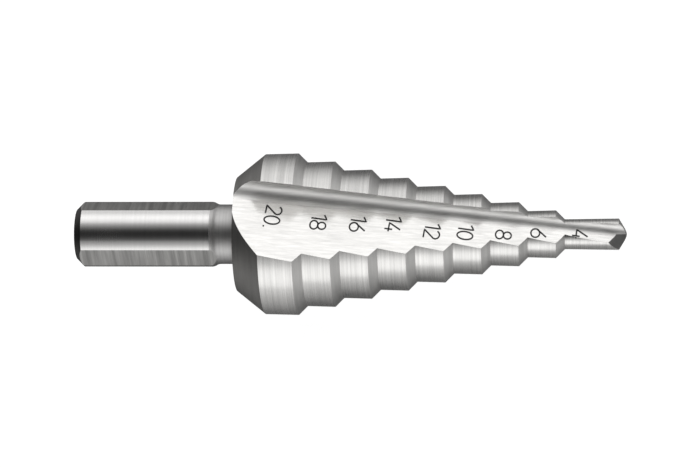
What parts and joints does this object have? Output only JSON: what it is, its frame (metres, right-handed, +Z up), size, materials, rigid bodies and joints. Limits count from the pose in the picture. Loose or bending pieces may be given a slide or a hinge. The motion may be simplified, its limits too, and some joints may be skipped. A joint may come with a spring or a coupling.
{
  "type": "step drill bit",
  "caption": "One-piece steel step drill bit: stepped cone with two straight flutes and a split point, on a shank with three flats, for boring thin sheet to size.",
  "frame": {"origin": "middle of the base of the bounding box, on the surface that the drill lies on", "axes": "+X runs from the shank to the point, seen from above; the drill's own axis dips about 10 degrees from it towards the point; +Z is up"},
  "size_m": [0.067, 0.0198, 0.0182],
  "materials": {
    "ground_steel": "ground and brushed bare high speed steel"
  },
  "bodies": {
    "root": {"step_drill": "ground_steel"}
  },
  "joints": []
}
